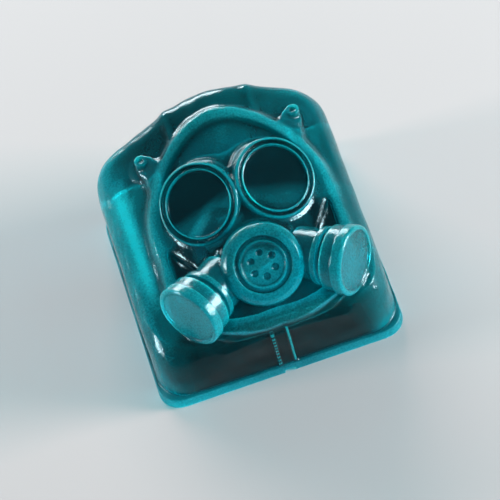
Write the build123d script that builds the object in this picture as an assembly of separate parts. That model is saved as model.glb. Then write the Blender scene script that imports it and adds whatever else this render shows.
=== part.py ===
from build123d import *
import math
import os

# One-unit keycap cast in one piece: a hooded head in a two-lens respirator on a square cap.
# Millimetres. X to the typist's right, Y to the back, Z up, origin at the middle of the foot.

# Cap body: a proud foot band, and walls that lean in above it
foot_width = 18.2
foot_depth = 18.2
foot_corner_radius = 1.6
foot_band_height = 0.9
foot_band_proud = 0.2
foot_band_edge_break = 0.08
wall_corner_radius = 2.2
wall_lean = 0.4

# Hood: the crown line climbs from chin to back, the shoulder line follows both side walls
crown_height = 11.8
chin_height = 5.2
crown_line_power = 1.6
shoulder_front = 4.55
shoulder_back = 7.2
fullness_front = 0.3
fullness_back = 0.56
hood_knee_x = 5.2
hood_edge_break = 0.75
hood_overrun = 1.1
hood_sections = 6

# The sculpted head sits a little to the right of the cap's middle
head_shift = 0.7

# Face seal: a flattened arch over the brow, straight cheeks and a shallow V under the chin
seal_half_width = 6.45
seal_arch_height = 5.85
seal_width = 0.9
seal_rise = 0.55
seal_cheek_end_y = -3.6
seal_jaw_x = 3.7
seal_jaw_y = -7.75
seal_jaw_angle = math.radians(30)
seal_chin_y = -8.3
flange_margin = 0.3
flange_rise = 0.2
lip_drop = 0.3

# Face piece: the raised rubber round the lenses, down to the chin
face_rise = 0.35
face_margin = 0.3
face_jaw_x = 2.1
face_jaw_y = -6.5

# Lenses
lens_x = 2.88
lens_y = 0.25
lens_radius = 2.98
lens_ring_width = 0.34
lens_groove_width = 0.15
lens_groove_depth = 0.16
lens_inner_ring_width = 0.15
lens_ring_break = 0.11
lens_stand = 0.55
lens_recess = 0.36
lens_tilt = 27.0
lens_turn = 22.0
lens_root = 2.0

# Outlet valve
valve_y = -6.0
valve_z = 9.02
valve_tilt = 38.0
valve_radius = 2.95
valve_crown_radius = 0.8
valve_crown_facets = 3
valve_seat_radius = 1.98
valve_seat_depth = 0.32
valve_ring_radius = 1.7
valve_ring_width = 0.2
valve_ring_height = 0.2
valve_disc_recess = 0.12
valve_port_circle = 0.85
valve_port_radius = 0.24
valve_port_depth = 0.2
valve_port_count = 6
valve_root = 3.8

# Filter canisters, each turned about its own axis from the cap face inwards
filter_x = 6.15
filter_y = -7.2
filter_z = 7.55
filter_aim = 39.0
filter_lift = 8.0
filter_cap_radius = 2.5
filter_cap_depth = 0.85
filter_cap_rim = 0.38
filter_cap_dish = 0.1
filter_body_radius = 2.32
filter_body_depth = 0.94
filter_ring_radius = 2.1
filter_ring_depth = 0.45
filter_neck_radius = 1.85
filter_neck_gap = 0.4
filter_root = 1.9
filter_edge_break = 0.14

# Buckle lugs and rivets
lug_x = 5.7
lug_y = 5.75
lug_radius = 0.48
lug_rise = 0.4
lug_root_high = 52.0
lug_root_low = 28.0
lug_button_rise = 0.28
lug_eye_radius = 0.2
rivet_x = 2.6
rivet_y = -3.2
rivet_radius = 0.26
rivet_rise = 0.2

# Straps
crown_strap_x = 3.15
crown_strap_width = 0.5
crown_strap_rise = 0.15
crown_strap_end_z = 8.4
chin_strap_x = 0.3
chin_strap_width = 1.4
chin_strap_rise = 0.08
chin_seam_width = 0.28
chin_seam_rise = 0.18
foot_notch_width = 0.8
foot_notch_height = 0.3

# Hollow underside and the cross-socket post
wall = 1.5
hollow_height = 4.2
hollow_lean = 1.9
hollow_corner_radius = 1.0
hollow_roof_break = 0.4
post_radius = 2.75
post_recess = 0.5
post_roof = 0.5
cross_length = 4.1
cross_width_x = 1.32
cross_width_y = 1.2
cross_depth = 3.8

# Longer than the cap in every direction, for cutting bodies
beyond = 2 * (foot_width + foot_depth)


def crown_line(y):
    run = max(0.0, (foot_depth / 2 - y) / foot_depth)
    return crown_height - (crown_height - chin_height) * run**crown_line_power


def along(y, front, back):
    """Value at y of something that changes evenly from the front of the cap to its back."""
    return front + (back - front) * (foot_depth / 2 + y) / foot_depth


def hood_section(y, rise):
    """Closed section across the hood at y, with a bell-shaped top edge."""
    half = foot_width / 2 + hood_overrun
    top = crown_line(y) + rise
    side = along(y, shoulder_front, shoulder_back) + rise
    knee = side + along(y, fullness_front, fullness_back) * (top - side)
    left_knee = (head_shift - hood_knee_x, knee)
    right_knee = (head_shift + hood_knee_x, knee)
    edge = Spline((-half, side), left_knee, (head_shift, top), right_knee, (half, side))
    frame = Polyline((half, side), (half, 0), (-half, 0), (-half, side))
    return Plane(origin=(0, y, 0), x_dir=(1, 0, 0), z_dir=(0, -1, 0)) * make_face(edge + frame)


def hood(skin=0.0):
    """The cap's body above its foot band, or the same body grown outwards by a skin."""
    first = -foot_depth / 2 - hood_overrun
    step = -2 * first / (hood_sections - 1)
    crown = loft([hood_section(first + step * index, skin) for index in range(hood_sections)])
    grow = 2 * (skin - foot_band_proud)
    plan = RectangleRounded(foot_width + grow, foot_depth + grow, wall_corner_radius + skin)
    block = crown & extrude(plan, crown_height + hood_overrun, taper=wall_lean)
    upper = block.faces().sort_by(Axis.Z)[-1]
    return chamfer(upper.edges(), hood_edge_break + skin / 2)


def column(outline):
    """Upright prism over an outline drawn about the head's middle plane, from the lip under the chin up."""
    return Pos(head_shift, 0, chin_height - lip_drop) * extrude(outline, beyond)


def turned(*profile):
    """Solid of revolution from (radius, height, edge break) points, closed along its axis."""
    section = make_face(Polyline(*[(radius, height) for radius, height, edge_break in profile], close=True))
    for radius, height, edge_break in profile:
        if edge_break:
            section = chamfer(section.vertices().sort_by_distance((radius, height))[0], edge_break)
    return revolve(Plane.XZ * section, Axis.Z)


def both_sides(shape):
    """A shape and its mirror image across the head's middle plane."""
    return [shape, mirror(shape, Plane.YZ.offset(head_shift))]


def top_of(body, x, y):
    """Height of a body's upper skin over a point given about the head's middle plane."""
    drop = Axis((head_shift + x, y, beyond), (0, 0, -1))
    return max(point.Z for point, normal in body.shell().find_intersection_points(drop))


def seal_outline(margin):
    """Face bounded by the seal's middle line moved outwards by a margin."""
    side = seal_half_width + margin
    brow = EllipticalCenterArc((0, 0), side, seal_arch_height + margin)
    cheek = Line((side, 0), (side, seal_cheek_end_y))
    jaw_end = (seal_jaw_x + margin * math.sin(seal_jaw_angle), seal_jaw_y - margin * math.cos(seal_jaw_angle))
    jaw = TangentArc(cheek @ 1, jaw_end, tangent=cheek % 1)
    chin = TangentArc(jaw @ 1, (0, seal_chin_y - margin), tangent=jaw % 1)
    half = brow + cheek + jaw + chin
    return make_face(half + mirror(half, Plane.YZ))


def face_seal():
    """Rounded band on a low flange."""
    outer = seal_outline(seal_width / 2)
    inner = seal_outline(-seal_width / 2)
    flange = hood(flange_rise) & column(seal_outline(seal_width / 2 + flange_margin) - inner)
    band = hood(seal_rise) & column(outer - inner)
    return [flange, band]


def face_piece():
    """Raised field round both lenses that narrows down to the jaw."""
    rim = Pos(lens_x, lens_y) * Circle(lens_radius + face_margin)
    half = make_hull([*rim.edges(), Edge.make_line((0, face_jaw_y), (face_jaw_x, face_jaw_y))])
    return hood(face_rise) & column(half + mirror(half, Plane.YZ))


def lens():
    """Double ring round a recessed flat glass."""
    ring_inner = lens_radius - lens_ring_width
    groove_inner = ring_inner - lens_groove_width
    glass_radius = groove_inner - lens_inner_ring_width
    return turned(
        (0, -lens_root, 0),
        (lens_radius, -lens_root, 0),
        (lens_radius, 0, lens_ring_break),
        (ring_inner, 0, 0),
        (ring_inner, -lens_groove_depth, 0),
        (groove_inner, -lens_groove_depth, 0),
        (groove_inner, 0, 0),
        (glass_radius, 0, 0),
        (glass_radius, -lens_recess, 0),
        (0, -lens_recess, 0),
    )


def valve():
    """Rounded bezel, stepped seat and a disc with a ring of plain round ports."""
    ring_inner = valve_ring_radius - valve_ring_width
    ring_top = valve_ring_height - valve_seat_depth
    disc = ring_top - valve_disc_recess
    angles = [math.pi / 2 * step / valve_crown_facets for step in range(valve_crown_facets + 1)]
    shrink = [valve_crown_radius * (1 - math.cos(angle)) for angle in angles]
    drop = [valve_crown_radius * (1 - math.sin(angle)) for angle in angles]
    body = turned(
        (0, -valve_root, 0),
        (valve_radius, -valve_root, 0),
        *[(valve_radius - inward, -down, 0) for inward, down in zip(shrink, drop)],
        (valve_seat_radius, 0, 0),
        (valve_seat_radius, -valve_seat_depth, 0),
        (valve_ring_radius, -valve_seat_depth, 0),
        (valve_ring_radius, ring_top, 0),
        (ring_inner, ring_top, 0),
        (ring_inner, disc, 0),
        (0, disc, 0),
    )
    port = Pos(0, 0, disc) * Cylinder(valve_port_radius, 2 * valve_port_depth)
    return body - PolarLocations(valve_port_circle, valve_port_count) * port


def filter_canister():
    """Cap with a raised rim, body, neck ring and neck."""
    cap_end = -filter_cap_depth
    body_end = cap_end - filter_body_depth
    ring_start = body_end - filter_neck_gap
    ring_end = ring_start - filter_ring_depth
    root = ring_end - filter_root
    rim_inner = filter_cap_radius - filter_cap_rim
    return turned(
        (0, -filter_cap_dish, 0),
        (rim_inner, -filter_cap_dish, 0),
        (rim_inner, 0, 0),
        (filter_cap_radius, 0, filter_edge_break),
        (filter_cap_radius, cap_end, 0),
        (filter_body_radius, cap_end, 0),
        (filter_body_radius, body_end, 0),
        (filter_neck_radius, body_end, 0),
        (filter_neck_radius, ring_start, 0),
        (filter_ring_radius, ring_start, 0),
        (filter_ring_radius, ring_end, 0),
        (filter_neck_radius, ring_end, 0),
        (filter_neck_radius, root, 0),
        (0, root, 0),
    )


def filter_seat():
    """Middle of the cap face, with Z along the canister's axis, on the typist's right."""
    aim = math.radians(filter_aim)
    lift = math.radians(filter_lift)
    axis = (math.cos(aim) * math.cos(lift), -math.sin(aim) * math.cos(lift), math.sin(lift))
    return Plane(origin=(head_shift + filter_x, filter_y, filter_z), z_dir=axis)


def lens_seat(field):
    """Middle of the lens ring's top, with Z along the lens axis, on the typist's right."""
    tilt = math.tan(math.radians(lens_tilt))
    turn = math.tan(math.radians(lens_turn))
    height = top_of(field, lens_x, lens_y) + lens_stand
    return Plane(origin=(head_shift + lens_x, lens_y, height), z_dir=(turn, -tilt, 1))


def valve_seat():
    tilt = math.radians(valve_tilt)
    return Plane(origin=(head_shift, valve_y, valve_z), z_dir=(0, -math.sin(tilt), math.cos(tilt)))


def buckle_lug(body):
    """Three-cornered tab from the seal to a round button with an eye."""
    roots = [math.radians(lug_root_high), math.radians(lug_root_low)]
    high, low = [(seal_half_width * math.cos(angle), seal_arch_height * math.sin(angle)) for angle in roots]
    tip = Pos(lug_x, lug_y) * Circle(lug_radius)
    outline = make_hull([Edge.make_line(high, low), *tip.edges()])
    tab = hood(lug_rise) & column(outline)
    button_top = top_of(tab, lug_x, lug_y) + lug_button_rise
    button = Cylinder(lug_radius, 2 * lug_rise + lug_button_rise, align=(Align.CENTER, Align.CENTER, Align.MAX))
    eye = Cylinder(lug_eye_radius, lug_button_rise)
    return tab + Pos(head_shift + lug_x, lug_y, button_top) * (button - eye)


def rivet(field):
    height = top_of(field, rivet_x, rivet_y)
    return Pos(head_shift + rivet_x, rivet_y, height) * Cylinder(rivet_radius, 2 * rivet_rise)


def crown_strap():
    """Narrow strap from the seal over the crown and a little way down the back."""
    strip = Box(crown_strap_width, beyond, beyond, align=(Align.CENTER, Align.MIN, Align.MIN))
    start_y = seal_arch_height * math.sqrt(1 - (crown_strap_x / seal_half_width) ** 2)
    return hood(crown_strap_rise) & Pos(head_shift + crown_strap_x, start_y, crown_strap_end_z) * strip


def chin_strap():
    """Flat strap with a seam along both edges, down the front wall to the foot band."""
    forward = (Align.CENTER, Align.MAX, Align.MIN)
    height = chin_height - foot_band_height
    top_edge = Pos(chin_strap_x, seal_chin_y, foot_band_height)
    web = hood(chin_strap_rise) & top_edge * Box(chin_strap_width, wall, height, align=forward)
    seam_x = (chin_strap_width - chin_seam_width) / 2
    both_seams = [Pos(side * seam_x, 0, 0) * Box(chin_seam_width, wall, height, align=forward) for side in (-1, 1)]
    grown = hood(chin_seam_rise)
    return [web, *[grown & top_edge * seam for seam in both_seams]]


def foot_band():
    """Proud band round the foot, with a small notch under the chin strap."""
    outline = RectangleRounded(foot_width, foot_depth, foot_corner_radius)
    band = extrude(outline, foot_band_height)
    band = chamfer(band.faces().sort_by(Axis.Z)[-1].edges(), foot_band_edge_break)
    notch = Box(foot_notch_width, 2 * foot_band_proud, 2 * foot_notch_height)
    return band - Pos(chin_strap_x, -foot_depth / 2, 0) * notch


def hollow():
    """Space under the cap, a little narrower towards its roof."""
    mouth = RectangleRounded(foot_width - 2 * wall, foot_depth - 2 * wall, hollow_corner_radius)
    space = extrude(mouth, hollow_height, taper=hollow_lean)
    return chamfer(space.faces().sort_by(Axis.Z)[-1].edges(), hollow_roof_break)


def post():
    """Round post with a cross socket, standing down from the hollow's roof."""
    upright = (Align.CENTER, Align.CENTER, Align.MIN)
    shaft = Cylinder(post_radius, cross_depth + post_roof, align=upright)
    cross = Box(cross_length, cross_width_x, cross_depth, align=upright)
    cross += Box(cross_width_y, cross_length, cross_depth, align=upright)
    return Pos(0, 0, post_recess) * (shaft - cross)


def keycap():
    body = hood()
    field = face_piece()
    right_filter = filter_seat() * filter_canister()
    right_lens = lens_seat(field) * lens()
    solid = body + foot_band() + field
    solid += face_seal()
    solid += chin_strap()
    solid += both_sides(crown_strap())
    solid += both_sides(buckle_lug(body))
    solid += both_sides(right_filter)
    solid += both_sides(right_lens)
    solid += valve_seat() * valve()
    solid += both_sides(rivet(field))
    return solid - hollow() + post()


os.makedirs("parts", exist_ok=True)
export_step(keycap(), "parts/keycap.step")
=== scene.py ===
"""Studio view of a one-piece keycap: a hooded head in a two-lens respirator, cast in clear teal resin."""

import math

import bmesh
import bpy
import numpy as np
from mathutils import Matrix, Vector


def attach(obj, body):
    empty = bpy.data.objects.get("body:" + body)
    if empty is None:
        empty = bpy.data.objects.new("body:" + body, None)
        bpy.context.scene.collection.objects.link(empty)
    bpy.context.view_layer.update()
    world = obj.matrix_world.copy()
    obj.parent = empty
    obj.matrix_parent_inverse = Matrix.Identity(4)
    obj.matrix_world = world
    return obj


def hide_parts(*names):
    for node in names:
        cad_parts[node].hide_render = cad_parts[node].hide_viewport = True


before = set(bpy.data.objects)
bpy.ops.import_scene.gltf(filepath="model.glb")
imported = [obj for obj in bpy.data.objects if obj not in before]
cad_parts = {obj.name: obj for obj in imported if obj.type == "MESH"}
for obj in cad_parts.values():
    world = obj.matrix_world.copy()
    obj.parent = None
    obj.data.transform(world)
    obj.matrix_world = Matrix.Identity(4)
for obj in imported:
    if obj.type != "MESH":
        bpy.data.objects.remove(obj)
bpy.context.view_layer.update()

bl_info = {
    "name": "Cast Resin Keycap",
    "version": (1, 0, 0),
    "blender": (4, 5, 0),
    "location": "View3D > Sidebar > Keycap",
    "description": "Casts a sculpted keycap in clear teal resin and sets it in a small studio",
    "category": "Object",
}

MILLIMETRE = 0.001

# Places and sizes on the casting, in millimetres. The head is symmetrical about the plane x = HEAD_SHIFT.
# Places marked "folded" are on its right half, with x measured from that plane.
HEAD_SHIFT = 0.7
FOOT_HALF = 9.1
FOOT_TOP = 1.0
HOLLOW_HALF = 7.5
HOLLOW_TOP = 4.2
WALL_FRONT = 4.55  # height of the wall's top at the front
WALL_RISE = 2.65  # how much higher the wall's top is at the back
FILTER_MIDDLE = Vector((6.15, -7.2, 7.55))  # folded, middle of a filter's cap
FILTER_AXIS = Vector((0.7696, -0.6232, 0.1392)).normalized()  # folded
LENS_MIDDLE = Vector((2.88, 0.25, 9.69))  # folded
LENS_AXIS = Vector((math.tan(math.radians(22.0)), -math.tan(math.radians(27.0)), 1.0)).normalized()  # folded
LENS_DOWN = (Vector((0.0, -1.0, 0.0)) + LENS_AXIS * LENS_AXIS.y).normalized()  # folded
GLASS_RADIUS = 2.3
INNER_RING = 2.41
OUTER_RING = 2.88
VALVE_Y, VALVE_Z = -6.2, 8.75
LUG_X, LUG_Y = 5.7, 5.75  # folded
STRAP_X = 3.15  # folded
SEAL_HALF_WIDTH, SEAL_ARCH = 6.45, 5.85
SEAL_MEAN_RADIUS = 6.1
CHEEK_X, CHEEK_Y = 5.2, -2.3  # folded
# x of the painted streak of light on the hood's left slope
PAINTED_STREAK_X = -7.25
STITCH_SEAM_X = -0.26
# x of the chin strap's right seam, where a highlight line is painted
SEAM_HIGHLIGHT_X = 0.86
STITCH_PITCH = 0.38

MERGE_DISTANCE = 1e-7  # metres
ROUND_PULL = 0.8
SWELL_SEED = 4
SWELL_WAVES = 8
SWELL_PACE = 1.6  # spread of the swells' wave numbers, in radians per millimetre

AIR_COLOUR = (0.75, 0.85, 0.9, 1.0)
AIR_STRENGTH = 0.22
LAMP_AIM = Vector((0.0, 0.0, 0.005))
LAMPS = (  # name, place and size in metres, power in watts
    ("right_softbox", (0.228, -0.055, 0.065), (0.09, 0.11), 1.7),
    ("left_softbox", (-0.235, 0.03, 0.075), (0.045, 0.05), 0.5),
    ("back_softbox", (-0.04, 0.24, 0.09), (0.24, 0.09), 1.5),
)


class KeycapCastingSettings(bpy.types.PropertyGroup):
    """Shape of the casting's skin."""

    grid: bpy.props.FloatProperty(
        name="Skin grid",
        description="Size of the grid that the skin is drawn on before it is thinned, in millimetres",
        default=0.05,
        min=0.04,
        max=0.3,
    )
    softening: bpy.props.IntProperty(
        name="Softening",
        description="Rounds of smoothing that soften the edges as a casting's are",
        default=8,
        min=0,
        max=40,
    )
    hood_rounding: bpy.props.IntProperty(
        name="Hood rounding",
        description="Further rounds of smoothing on the hood and on the seal and straps over it",
        default=80,
        min=0,
        max=2000,
    )
    shoulder_rounding: bpy.props.IntProperty(
        name="Shoulder rounding",
        description="Rounds of smoothing along the hood's shoulder",
        default=300,
        min=0,
        max=2000,
    )
    corner_rounding: bpy.props.IntProperty(
        name="Corner rounding",
        description="Further rounds of smoothing on the hood's two front corners",
        default=1000,
        min=0,
        max=2000,
    )
    unevenness: bpy.props.FloatProperty(
        name="Unevenness",
        description="Depth of the slow swells that a hand-made master leaves in the casting, in millimetres",
        default=0.1,
        min=0.0,
        max=0.5,
    )
    triangles: bpy.props.IntProperty(
        name="Triangles",
        description="Triangles that the finished skin keeps",
        default=196000,
        min=20000,
        max=200000,
    )


class KeycapResinSettings(bpy.types.PropertyGroup):
    """Colour and finish of the resin."""

    # Also painted shade: the cheeks, front wall and upper glass take this colour.
    clear_and_shade_colour: bpy.props.FloatVectorProperty(
        name="Clear colour",
        description="Colour of the resin where it is clear and dark",
        subtype="COLOR",
        size=4,
        default=(0.0, 0.004, 0.005, 1.0),
        min=0.0,
        max=1.0,
    )
    body_colour: bpy.props.FloatVectorProperty(
        name="Body colour",
        description="Colour of the light that the cloudy resin throws back",
        subtype="COLOR",
        size=4,
        default=(0.0, 0.12, 0.14, 1.0),
        min=0.0,
        max=1.0,
    )
    # Also painted highlight: ridges, lens ring lines, seal and seam take this colour.
    pale_and_highlight_colour: bpy.props.FloatVectorProperty(
        name="Cloud colour",
        description="Colour of the paler clouds in the resin and of its sanded foot",
        subtype="COLOR",
        size=4,
        default=(0.012, 0.44, 0.49, 1.0),
        min=0.0,
        max=1.0,
    )
    # Painted glow and highlight: the shoulder streak, the lens glow and the brightest ridges take this
    # colour.
    glow_colour: bpy.props.FloatVectorProperty(
        name="Glow colour",
        description="Colour of the resin where light gathers in it",
        subtype="COLOR",
        size=4,
        default=(0.02, 0.80, 0.86, 1.0),
        min=0.0,
        max=1.0,
    )
    depth_colour: bpy.props.FloatVectorProperty(
        name="Depth colour",
        description="Colour that light takes on as it passes through the resin",
        subtype="COLOR",
        size=4,
        default=(0.0, 0.80, 0.84, 1.0),
        min=0.0,
        max=1.0,
    )
    lamp_colour: bpy.props.FloatVectorProperty(
        name="Lamp colour",
        description="Colour that lamp light takes on at each surface that it passes",
        subtype="COLOR",
        size=4,
        default=(0.1, 0.74, 0.77, 1.0),
        min=0.0,
        max=1.0,
    )
    gloss_colour: bpy.props.FloatVectorProperty(
        name="Gloss colour",
        description="Tint of what the resin's surface reflects face on",
        subtype="COLOR",
        size=4,
        default=(0.55, 0.88, 1.0, 1.0),
        min=0.0,
        max=1.0,
    )
    depth_density: bpy.props.FloatProperty(
        name="Depth density",
        description="How strongly the resin colours the light, per metre",
        default=320.0,
        min=0.0,
    )
    clearness: bpy.props.FloatProperty(
        name="Clearness",
        description="Share of the light that goes through the surface",
        subtype="FACTOR",
        default=0.68,
        min=0.0,
        max=1.0,
    )
    gloss_roughness: bpy.props.FloatProperty(
        name="Gloss roughness",
        description="Roughness of the glossy outside",
        subtype="FACTOR",
        default=0.09,
        min=0.0,
        max=1.0,
    )
    frost_roughness: bpy.props.FloatProperty(
        name="Frost roughness",
        description="Roughness of the sanded foot and of the hollow underneath",
        subtype="FACTOR",
        default=0.45,
        min=0.0,
        max=1.0,
    )


class KeycapStudioSettings(bpy.types.PropertyGroup):
    """Floor and camera."""

    floor_colour: bpy.props.FloatVectorProperty(
        name="Floor colour",
        description="Colour of the plain pale floor",
        subtype="COLOR",
        size=4,
        default=(0.37, 0.375, 0.38, 1.0),
        min=0.0,
        max=1.0,
    )
    camera_elevation: bpy.props.FloatProperty(
        name="Camera elevation",
        description="Height of the camera above the horizon",
        subtype="ANGLE",
        default=math.radians(54.0),
    )
    camera_azimuth: bpy.props.FloatProperty(
        name="Camera azimuth",
        description="Turn of the camera to the right of the cap's front",
        subtype="ANGLE",
        default=math.radians(-2.5),
    )
    camera_roll: bpy.props.FloatProperty(
        name="Camera roll",
        description="Turn of the picture about the line of sight",
        subtype="ANGLE",
        default=math.radians(16.83),
    )
    camera_distance: bpy.props.FloatProperty(
        name="Camera distance",
        description="Distance from the camera to the point it looks at",
        subtype="DISTANCE",
        default=0.191,
    )
    camera_lens: bpy.props.FloatProperty(
        name="Camera lens",
        description="Focal length on a 36 mm wide sensor, in millimetres",
        unit="CAMERA",
        default=192.8,
    )
    camera_target: bpy.props.FloatVectorProperty(
        name="Camera target",
        description="Point that the camera looks at",
        subtype="TRANSLATION",
        default=(0.000338, -0.000834, 0.004),
    )


class Wire:
    """A socket of a node tree. Arithmetic on a wire adds Math nodes to its tree."""

    def __init__(self, tree, socket=None):
        self.tree = tree
        self.socket = socket

    def node(self, kind, settings=None, sockets=None, output=0):
        """Add a node with its settings, fill its sockets with values or wires, and return one output."""
        made = self.tree.nodes.new(kind)
        for name, value in (settings or {}).items():
            setattr(made, name, value)
        for name, value in (sockets or {}).items():
            if isinstance(value, Wire):
                self.tree.links.new(value.socket, made.inputs[name])
            else:
                made.inputs[name].default_value = value
        return Wire(self.tree, made.outputs[output] if made.outputs else None)

    def math(self, operation, *operands):
        return self.node("ShaderNodeMath", {"operation": operation}, dict(enumerate(operands)))

    def __add__(self, other):
        return self.math("ADD", self, other)

    __radd__ = __add__

    def __sub__(self, other):
        return self.math("SUBTRACT", self, other)

    def __rsub__(self, other):
        return self.math("SUBTRACT", other, self)

    def __mul__(self, other):
        return self.math("MULTIPLY", self, other)

    __rmul__ = __mul__

    def __abs__(self):
        return self.math("ABSOLUTE", self)

    def step(self, low, high):
        """Rise smoothly from 0 at low to 1 at high."""
        sockets = {"Value": self, "From Min": low, "From Max": high}
        return self.node("ShaderNodeMapRange", {"interpolation_type": "SMOOTHSTEP"}, sockets)

    def blend(self, first, second):
        """Mix two colours by this wire."""
        return self.node("ShaderNodeMix", {"data_type": "RGBA"}, {0: self, 6: first, 7: second}, output=2)

    def noise(self, scale, detail):
        """Noise at this place, with its scale in waves per metre."""
        sockets = {"Vector": self, "Scale": scale, "Detail": detail}
        return self.node("ShaderNodeTexNoise", sockets=sockets, output="Fac")

    def bump(self, strength, depth, **below):
        """Normal of a surface raised by this wire, to a depth in metres, over the normal below."""
        sockets = {"Strength": strength, "Distance": depth, "Height": self, **below}
        return self.node("ShaderNodeBump", sockets=sockets, output="Normal")


def clear_teal_resin(resin):
    """Cloudy clear resin, glossy outside and sanded at its foot and in its hollow."""
    material = bpy.data.materials.new("clear_teal_resin")
    material.use_nodes = True
    tree = material.node_tree
    tree.nodes.clear()
    place = Wire(tree).node("ShaderNodeTexCoord", output="Object")
    axes = [place.node("ShaderNodeSeparateXYZ", sockets={0: place}, output=axis) for axis in "XYZ"]
    across, along, height = [axis * (1 / MILLIMETRE) for axis in axes]

    edge = 0.15
    hollow = 1 - abs(across).step(HOLLOW_HALF, HOLLOW_HALF + edge)
    hollow = hollow * (1 - abs(along).step(HOLLOW_HALF, HOLLOW_HALF + edge))
    hollow = hollow * (1 - height.step(HOLLOW_TOP, HOLLOW_TOP + edge))
    foot = 1 - height.step(0.75 * FOOT_TOP, FOOT_TOP)
    frost = hollow.math("MAXIMUM", hollow, foot)
    drift = place.noise(1 / (3.0 * MILLIMETRE), 3.0)
    grain = place.noise(1 / (0.13 * MILLIMETRE), 2.0)
    ripple = place.noise(1 / (1.3 * MILLIMETRE), 1.0)

    cloud_and_painted_light = place.node("ShaderNodeAttribute", {"attribute_name": "cloud_and_painted_light"}, output="Fac")
    cloud_and_painted_light = lens_painted_light(cloud_and_painted_light, across, along, height)
    cloud_and_painted_light = cloud_and_painted_light + chin_stitches_and_seam_highlight(across, along, height)
    cloud_and_painted_light = (cloud_and_painted_light + (drift - 0.5) * 0.2) * (1 + (grain - 0.5) * 0.7)
    # Clear, body, pale and glow colours by the field: clear for painted shade, pale and glow for painted
    # highlights, mixed with the resin's cloudiness.
    colour = cloud_and_painted_light.step(0.0, 0.5).blend(tuple(resin.clear_and_shade_colour), tuple(resin.body_colour))
    colour = cloud_and_painted_light.step(0.45, 1.0).blend(colour, tuple(resin.pale_and_highlight_colour))
    colour = cloud_and_painted_light.step(0.9, 1.5).blend(colour, tuple(resin.glow_colour))
    gloss = resin.gloss_roughness + grain * 0.05 + cloud_and_painted_light * 0.06
    roughness = gloss + frost * (resin.frost_roughness - resin.gloss_roughness)
    waves = ripple.bump(0.4, 0.08 * MILLIMETRE)
    surface = place.node(
        "ShaderNodeBsdfPrincipled",
        sockets={
            "Base Color": colour,
            "Roughness": roughness,
            "Normal": grain.bump(0.6, 0.025 * MILLIMETRE, Normal=waves),
            "IOR": 1.4,
            "Specular IOR Level": 0.3,
            "Specular Tint": tuple(resin.gloss_colour),
            "Transmission Weight": resin.clearness,
            "Subsurface Weight": 1.0,
            "Subsurface Radius": (0.3, 1.0, 1.0),
            "Subsurface Scale": 3.0 * MILLIMETRE,
        },
        output="BSDF",
    )
    depth = place.node(
        "ShaderNodeVolumeAbsorption",
        sockets={"Color": tuple(resin.depth_colour), "Density": resin.depth_density},
        output="Volume",
    )
    lamp_ray = place.node("ShaderNodeLightPath", output="Is Shadow Ray")
    stain = {"Color": tuple(resin.lamp_colour)}
    stain = place.node("ShaderNodeBsdfTransparent", sockets=stain, output="BSDF")
    surface = place.node("ShaderNodeMixShader", sockets={0: lamp_ray, 1: surface, 2: stain}, output="Shader")
    place.node("ShaderNodeOutputMaterial", sockets={"Surface": surface, "Volume": depth})
    return material


def lens_painted_light(cloud_and_painted_light, across, along, height):
    """Cloudy resin with the lenses drawn in as painted light: two thin painted highlight lines round each
    glass, a painted glow low in the glass and painted dark above it.
    """
    left_half = 1 - across.step(HEAD_SHIFT - 0.1, HEAD_SHIFT + 0.1)
    folded = (abs(across - HEAD_SHIFT), along, height)
    offset = [axis - middle for axis, middle in zip(folded, LENS_MIDDLE)]
    lift = sum(part * share for part, share in zip(offset, LENS_AXIS))
    down = sum(part * share for part, share in zip(offset, LENS_DOWN))
    sideways = sum(part * share for part, share in zip(offset, LENS_AXIS.cross(LENS_DOWN)))
    radius = sum(part * part for part in offset) - lift * lift
    radius = radius.math("SQRT", radius)

    def ring(middle, width):
        return 1 - abs(radius - middle).step(0.3 * width, width)

    # Painted glow: a shaft of light across the left glass, and a glow low in both glasses, brighter in the
    # left one.
    glow_shaft = 0.59 * sideways - 0.81 * down + 0.68
    glow_shaft = (1 - abs(glow_shaft).step(0.05, 0.7)) * left_half
    low = down.step(-0.1, 1.4) * (1 - 0.5 * down.step(1.5, 2.4))
    glow = low * (0.3 + 0.25 * left_half + 0.5 * glow_shaft)
    # Painted highlight lines on the ring crests, over a dark channel.
    ring_highlights = 0.1 + 0.6 * ring(INNER_RING, 0.1) + 0.55 * ring(OUTER_RING, 0.15)
    glass = 1 - radius.step(GLASS_RADIUS, GLASS_RADIUS + 0.06)
    lens = (1 - radius.step(2.9, 3.05)) * lift.step(-0.6, -0.5) * (1 - lift.step(0.5, 0.6))
    drawn = glass * glow + (1 - glass) * ring_highlights
    return cloud_and_painted_light + lens * (drawn - cloud_and_painted_light)


def chin_stitches_and_seam_highlight(across, along, height):
    """Extra cloudy resin on the chin strap: a row of stitches up its left seam and a painted highlight line
    up its right one.
    """
    strap = (1 - along.step(-8.6, -8.5)) * height.step(1.0, 1.2) * (1 - height.step(4.9, 5.1))
    stitch_seam = 1 - abs(across - STITCH_SEAM_X).step(0.08, 0.16)
    seam_highlight = 1 - abs(across - SEAM_HIGHLIGHT_X).step(0.04, 0.12)
    stitch = height * (2 * math.pi / STITCH_PITCH)
    stitch = stitch.math("SINE", stitch).step(-0.2, 0.3)
    return strap * (0.8 * stitch_seam * stitch + 0.9 * seam_highlight)


def studio_floor_finish(colour):
    """Matt pale sweep with a faint mottle."""
    material = bpy.data.materials.new("pale_floor")
    material.use_nodes = True
    tree = material.node_tree
    tree.nodes.clear()
    place = Wire(tree).node("ShaderNodeTexCoord", output="Object")
    darker = tuple(0.8 * channel for channel in colour[:3]) + (1.0,)
    shade = (place.noise(60.0, 3.0) * 0.1).blend(tuple(colour), darker)
    surface = place.node(
        "ShaderNodeBsdfPrincipled", sockets={"Base Color": shade, "Roughness": 0.9}, output="BSDF"
    )
    place.node("ShaderNodeOutputMaterial", sockets={"Surface": surface})
    return material


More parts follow.
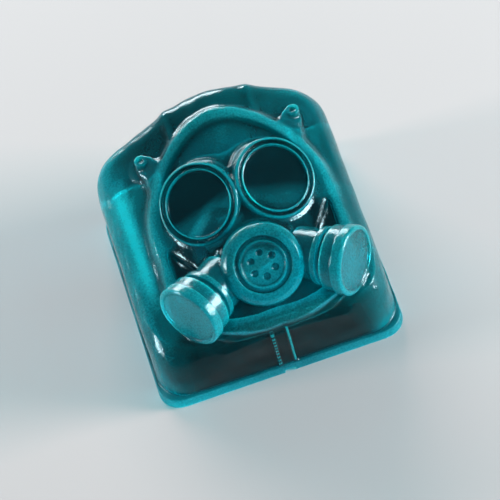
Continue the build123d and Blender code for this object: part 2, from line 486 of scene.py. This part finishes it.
def new_object(name, mesh):
    piece = bpy.data.objects.new(name, mesh)
    bpy.context.scene.collection.objects.link(piece)
    return piece


def finished_mesh(piece):
    """Mesh of an object with its modifiers applied."""
    depsgraph = bpy.context.evaluated_depsgraph_get()
    return bpy.data.meshes.new_from_object(piece.evaluated_get(depsgraph), depsgraph=depsgraph)


def step(values, low, high):
    """Rise smoothly from 0 at low to 1 at high."""
    part = np.clip((values - low) / (high - low), 0.0, 1.0)
    return part * part * (3 - 2 * part)


class Skin:
    """The casting's skin as arrays, in millimetres."""

    def __init__(self, mesh):
        count = len(mesh.vertices)
        self.mesh = mesh
        self.points = np.empty((count, 3))
        mesh.vertices.foreach_get("co", self.points.reshape(-1))
        edges = np.empty((len(mesh.edges), 2), dtype=np.int64)
        mesh.edges.foreach_get("vertices", edges.reshape(-1))
        self.near = np.concatenate((edges[:, 0], edges[:, 1]))
        self.far = np.concatenate((edges[:, 1], edges[:, 0]))
        self.degree = np.bincount(self.near, minlength=count)[:, None]

    def around(self, field):
        """Mean of a field over each point's neighbours."""
        columns = [np.bincount(self.near, column[self.far], len(column)) for column in field.T]
        return np.stack(columns, axis=1) / self.degree

    def relaxed(self, field, rounds):
        """A field moved halfway to its neighbours' mean, round after round."""
        for _ in range(rounds):
            field = field + 0.5 * (self.around(field) - field)
        return field

    def round_off(self, weight, rounds):
        """Move points towards their neighbours' mean, round after round, where the weight isn't 0."""
        moving = np.flatnonzero(weight)
        order = np.full(len(self.points), -1)
        order[moving] = np.arange(len(moving))
        used = order[self.near] >= 0
        near, far = order[self.near[used]], self.far[used]
        hold = weight[moving, None]
        pull = hold / self.degree[moving]
        for _ in range(rounds):
            total = np.stack([np.bincount(near, column[far]) for column in self.points.T], axis=1)
            self.points[moving] += pull * total - hold * self.points[moving]
        self.write()

    def sink(self, depth):
        """Move points inwards by a depth at each."""
        self.points -= depth[:, None] * self.normals()
        self.write()

    def write(self):
        self.mesh.vertices.foreach_set("co", self.points.reshape(-1))
        self.mesh.update()

    def normals(self):
        facing = np.empty((len(self.points), 3))
        self.mesh.vertices.foreach_get("normal", facing.reshape(-1))
        return facing

    def store(self, name, values):
        attribute = self.mesh.attributes.new(name, "FLOAT", "POINT")
        attribute.data.foreach_set("value", values.astype(np.float32))


def about_axis(points, middle, axis):
    """Each point's height along a folded axis and its distance from it."""
    x, y, z = points.T
    offset = np.stack((np.abs(x - HEAD_SHIFT), y, z), axis=1) - np.array(middle)
    lift = offset @ np.array(axis)
    return lift, np.sqrt(np.sum(offset**2, axis=1) - lift**2)


def lens_outside(points):
    """0 on the lenses and 1 away from them."""
    _, radius = about_axis(points, LENS_MIDDLE, LENS_AXIS)
    return step(radius, 3.02, 3.3)


def lug_outside(points):
    """0 on the buckle lugs and 1 away from them."""
    x, y, _ = points.T
    return step(np.hypot(np.abs(x - HEAD_SHIFT) - LUG_X, y - LUG_Y), 0.8, 1.3)


def hood_weight(points):
    """1 on the hood and on the soft seal, straps and face over it, and 0 on lenses, lugs and filters."""
    _, y, z = points.T
    return step(y, -3.4, -2.4) * step(z, 4.5, 5.5) * lens_outside(points) * lug_outside(points)


def shoulder_weight(points):
    """1 along the hood's shoulder, where the casting is well rounded, and 0 elsewhere."""
    x, y, z = points.T
    beside = np.abs(x - HEAD_SHIFT)
    side = WALL_FRONT + WALL_RISE * (FOOT_HALF + y) / (2 * FOOT_HALF)
    weight = step(np.maximum(np.abs(x), np.abs(y)), 7.0, 8.2) * step(z - side, -3.2, -1.0)
    front = 1 - step(y, -4.0, -2.5)
    weight = weight * (1 - front * step(z - side, 0.15, 0.4))
    chin = (1 - step(y, -8.0, -6.8)) * (1 - step(beside, 4.4, 5.4))
    strap = step(y, 6.0, 6.5) * (1 - step(np.abs(beside - STRAP_X), 0.3, 0.7))
    return weight * (1 - chin) * (1 - 0.6 * strap)


def corner_weight(points):
    """1 on the two front corners of the hood, which slope off towards the foot, and 0 elsewhere."""
    x, y, z = points.T
    reach = step(np.abs(x) - y, 12.0, 15.0) * step(np.abs(x - HEAD_SHIFT), 4.8, 6.0)
    return reach * step(z, 1.2, 2.4) * (1 - step(z, 4.7, 4.9))


def hand_made_swell(points):
    """Slow swells of a hand-made master, 0 to 1: weak on turned pieces, none on lugs, foot and hollow."""
    x, y, z = points.T
    draw = np.random.default_rng(SWELL_SEED)
    waves = draw.normal(0.0, SWELL_PACE, (SWELL_WAVES, 3))
    phases = draw.uniform(0.0, 2 * math.pi, SWELL_WAVES)
    total = sum(np.sin(points @ wave + phase) for wave, phase in zip(waves, phases))
    swell = np.clip(0.5 + total / (1.5 * SWELL_WAVES), 0.0, 1.0)
    turned = np.maximum(1 - lens_outside(points), (1 - step(y, -3.6, -2.8)) * step(z, 5.0, 5.6))
    hollow = (np.maximum(np.abs(x), np.abs(y)) < HOLLOW_HALF + 0.3) & (z < HOLLOW_TOP + 0.2)
    return swell * (1 - 0.75 * turned) * lug_outside(points) * step(z, 0.15, 0.8) * ~hollow


def cloudiness_and_painted_light(skin):
    """How cloudy the resin looks at each point, with light and shade painted in: pale painted highlights
    along ridges, pale along the sanded foot, clear with painted shade in hollows.
    """
    x, y, z = skin.points.T
    beside = np.abs(x - HEAD_SHIFT)
    right_half = step(x, 0.0, 1.0)
    facing = skin.normals()
    # fine lifts ridges into painted highlights; broad darkens hollows and gaps with painted shade and
    # lightens bulges a little.
    fine = np.sum((skin.points - skin.relaxed(skin.points, 8)) * facing, axis=1)
    broad = np.sum((skin.points - skin.relaxed(skin.points, 320)) * facing, axis=1)

    # Painted shade: the front wall below the chin is darkened towards clear dark resin, less so at its ends.
    front_wall_shade = (1 - step(y, -9.2, -3.0)) * (1 - step(z, 4.2, 5.6)) * (1 - 0.8 * step(np.abs(x), 5.6, 7.8))
    # Painted shade in the hollows beside the lenses, below the brow.
    cheek_shade = (1 - step(np.abs(beside - CHEEK_X), 0.7, 1.2)) * (1 - step(np.abs(y - CHEEK_Y), 1.0, 1.7))
    cheek_shade = cheek_shade * (1 - step(z, 7.5, 8.1))
    cloud_and_painted_light = (0.42 + 1.1 * np.clip(broad, -0.35, 0.15)) * (1 - 0.75 * front_wall_shade) * (1 - 0.9 * cheek_shade)
    cloud_and_painted_light = cloud_and_painted_light + 3.6 * np.clip(fine, -0.08, 0.12)

    # The filter caps are made paler, the left one more than the right, and the canister bodies darker: the
    # difference between the caps is painted light and the darker bodies are painted shade.
    inward, radius = about_axis(skin.points, FILTER_MIDDLE, FILTER_AXIS)
    outer = step(inward, -0.5, -0.3)
    cap = outer * (1 - step(radius, 2.1, 2.2))
    canister_shade = step(inward, -2.8, -2.4) * (1 - outer) * (1 - step(radius, 2.3, 2.5))
    from_valve = np.linalg.norm(np.stack((beside, y - VALVE_Y, z - VALVE_Z), axis=1), axis=1)
    valve_disc = 1 - step(from_valve, 1.4, 1.75)
    # Painted highlight: the seal band over the hood is made paler.
    from_seal = SEAL_MEAN_RADIUS * (np.hypot(beside / SEAL_HALF_WIDTH, np.maximum(y, 0.0) / SEAL_ARCH) - 1)
    seal = (1 - step(np.abs(from_seal), 0.4, 0.65)) * step(y, -4.5, -3.5)
    # Painted light and shade: the hood's top at the back and its right side are darkened, its left side is
    # lightened.
    hood_top_shade = step(y, 5.8, 7.5) * (1 - step(np.abs(x), 4.5, 7.0))
    left_side_light = step(z, 4.0, 6.0) * (1 - step(x, -9.0, -4.5))
    right_side_shade = step(z, 4.0, 6.0) * step(x, 6.5, 8.5) * step(y, -4.0, -2.0)
    chin = (1 - step(y, -6.0, -3.5)) * step(z, 5.0, 5.8)
    # Painted highlight: a streak of light down the left slope of the hood.
    painted_streak = np.exp(-(((x - PAINTED_STREAK_X) / 0.5) ** 2)) * step(z, 5.0, 5.6)
    painted_streak = painted_streak * step(y, -5.0, -1.0) * (1 - step(y, 4.0, 6.5))
    for place, amount in (
        (painted_streak, 1.1),
        (left_side_light, 0.2),
        (right_side_shade, -0.1),
        (chin, 0.1),
        (seal, 0.16),
        (hood_top_shade, -0.14),
        (cap * (1 - right_half), 0.28),
        (cap * right_half, 0.08),
        (canister_shade, -0.1),
        (valve_disc, 0.25),
    ):
        cloud_and_painted_light = cloud_and_painted_light + amount * place
    foot = (1 - step(z, 0.7 * FOOT_TOP, FOOT_TOP)) * (0.65 - 0.17 * step(np.abs(x), 8.5, 9.0))
    cloud_and_painted_light = np.maximum(cloud_and_painted_light, foot)
    return np.clip(skin.relaxed(cloud_and_painted_light[:, None], 2)[:, 0], 0.0, 1.6)


def cast_skin(node, casting):
    """The node's shape as one skin: drawn on a fine grid, softened, rounded, made uneven and thinned."""
    shape = bmesh.new()
    shape.from_mesh(node.data)
    bmesh.ops.remove_doubles(shape, verts=shape.verts, dist=MERGE_DISTANCE)
    bmesh.ops.scale(shape, verts=shape.verts, vec=(1 / MILLIMETRE,) * 3)
    mesh = bpy.data.meshes.new("keycap_blank")
    shape.to_mesh(mesh)
    shape.free()
    blank = new_object("keycap_blank", mesh)
    remesh = blank.modifiers.new("Grid", "REMESH")
    remesh.mode = "VOXEL"
    remesh.voxel_size = casting.grid
    smooth = blank.modifiers.new("Soften", "SMOOTH")
    smooth.factor = 0.5
    smooth.iterations = casting.softening
    soft = finished_mesh(blank)
    skin = Skin(soft)
    skin.round_off(ROUND_PULL * hood_weight(skin.points), casting.hood_rounding)
    skin.round_off(ROUND_PULL * shoulder_weight(skin.points), casting.shoulder_rounding)
    skin.round_off(ROUND_PULL * corner_weight(skin.points), casting.corner_rounding)
    skin.sink(casting.unevenness * hand_made_swell(skin.points))
    blank.modifiers.clear()
    blank.data = soft
    thin = blank.modifiers.new("Thin", "DECIMATE")
    thin.ratio = min(1.0, casting.triangles / (2 * len(soft.polygons)))
    thinned = finished_mesh(blank)
    bpy.data.objects.remove(blank)
    skin = Skin(thinned)
    skin.store("cloud_and_painted_light", cloudiness_and_painted_light(skin))
    thinned.transform(Matrix.Scale(MILLIMETRE, 4))
    thinned.shade_smooth()
    return thinned


class KEYCAP_OT_cast(bpy.types.Operator):
    """Cast the keycap in clear teal resin, with the soft edges of a casting"""

    bl_idname = "keycap.cast"
    bl_label = "Cast keycap"

    def execute(self, context):
        skin = cast_skin(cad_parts["keycap"], context.scene.keycap_casting)
        keycap = new_object("resin_keycap", skin)
        keycap.data.materials.clear()
        keycap.data.materials.append(clear_teal_resin(context.scene.keycap_resin))
        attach(keycap, "root")
        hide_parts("keycap")
        return {"FINISHED"}


class KEYCAP_OT_studio(bpy.types.Operator):
    """Lay the pale floor, hang the soft lamps and set the camera"""

    bl_idname = "keycap.studio"
    bl_label = "Set up studio"

    def execute(self, context):
        studio = context.scene.keycap_studio
        self.lay_floor(studio)
        self.hang_lamps(context)
        self.set_camera(context, studio)
        return {"FINISHED"}

    def lay_floor(self, studio):
        sheet = bmesh.new()
        bmesh.ops.create_grid(sheet, x_segments=1, y_segments=1, size=1.5)
        mesh = bpy.data.meshes.new("studio_floor")
        sheet.to_mesh(mesh)
        sheet.free()
        floor = new_object("studio_floor", mesh)
        floor.data.materials.append(studio_floor_finish(studio.floor_colour))

    def hang_lamps(self, context):
        world = bpy.data.worlds.new("studio_air")
        world.use_nodes = True
        world.node_tree.nodes["Background"].inputs["Color"].default_value = AIR_COLOUR
        world.node_tree.nodes["Background"].inputs["Strength"].default_value = AIR_STRENGTH
        context.scene.world = world
        for name, place, size, power in LAMPS:
            light = bpy.data.lights.new(name, "AREA")
            light.shape = "RECTANGLE"
            light.size, light.size_y = size
            light.energy = power
            lamp = bpy.data.objects.new(name, light)
            lamp.location = place
            lamp.rotation_euler = (LAMP_AIM - lamp.location).to_track_quat("-Z", "Y").to_euler()
            context.scene.collection.objects.link(lamp)

    def set_camera(self, context, studio):
        rise, turn, roll = studio.camera_elevation, studio.camera_azimuth, studio.camera_roll
        sight = Vector((math.sin(turn) * math.cos(rise), -math.cos(turn) * math.cos(rise), math.sin(rise)))
        level = Vector((math.cos(turn), math.sin(turn), 0.0))
        upward = sight.cross(level)
        right = level * math.cos(roll) - upward * math.sin(roll)
        up = level * math.sin(roll) + upward * math.cos(roll)
        pose = Matrix((right, up, sight)).transposed().to_4x4()
        pose.translation = Vector(studio.camera_target) + sight * studio.camera_distance
        lens = bpy.data.cameras.new("studio_camera")
        lens.sensor_width = 36.0
        lens.lens = studio.camera_lens
        lens.clip_start = 0.01
        lens.clip_end = 20.0
        camera = bpy.data.objects.new("studio_camera", lens)
        camera.matrix_world = pose
        context.scene.collection.objects.link(camera)
        context.scene.camera = camera
        context.scene.view_settings.view_transform = "Standard"


class KEYCAP_PT_panel(bpy.types.Panel):
    """Sizes and colours of the keycap and its studio"""

    bl_label = "Keycap"
    bl_idname = "KEYCAP_PT_panel"
    bl_space_type = "VIEW_3D"
    bl_region_type = "UI"
    bl_category = "Keycap"

    def draw(self, context):
        scene = context.scene
        for settings, operator in (
            (scene.keycap_casting, None),
            (scene.keycap_resin, "keycap.cast"),
            (scene.keycap_studio, "keycap.studio"),
        ):
            box = self.layout.box()
            for name in settings.__annotations__:
                box.prop(settings, name)
            if operator:
                box.operator(operator)


CLASSES = (
    KeycapCastingSettings,
    KeycapResinSettings,
    KeycapStudioSettings,
    KEYCAP_OT_cast,
    KEYCAP_OT_studio,
    KEYCAP_PT_panel,
)


def register():
    for cls in CLASSES:
        bpy.utils.register_class(cls)
    bpy.types.Scene.keycap_casting = bpy.props.PointerProperty(type=KeycapCastingSettings)
    bpy.types.Scene.keycap_resin = bpy.props.PointerProperty(type=KeycapResinSettings)
    bpy.types.Scene.keycap_studio = bpy.props.PointerProperty(type=KeycapStudioSettings)


def unregister():
    del bpy.types.Scene.keycap_studio
    del bpy.types.Scene.keycap_resin
    del bpy.types.Scene.keycap_casting
    for cls in reversed(CLASSES):
        bpy.utils.unregister_class(cls)


def main():
    register()
    bpy.ops.keycap.cast()
    bpy.ops.keycap.studio()


if __name__ == "__main__":
    main()
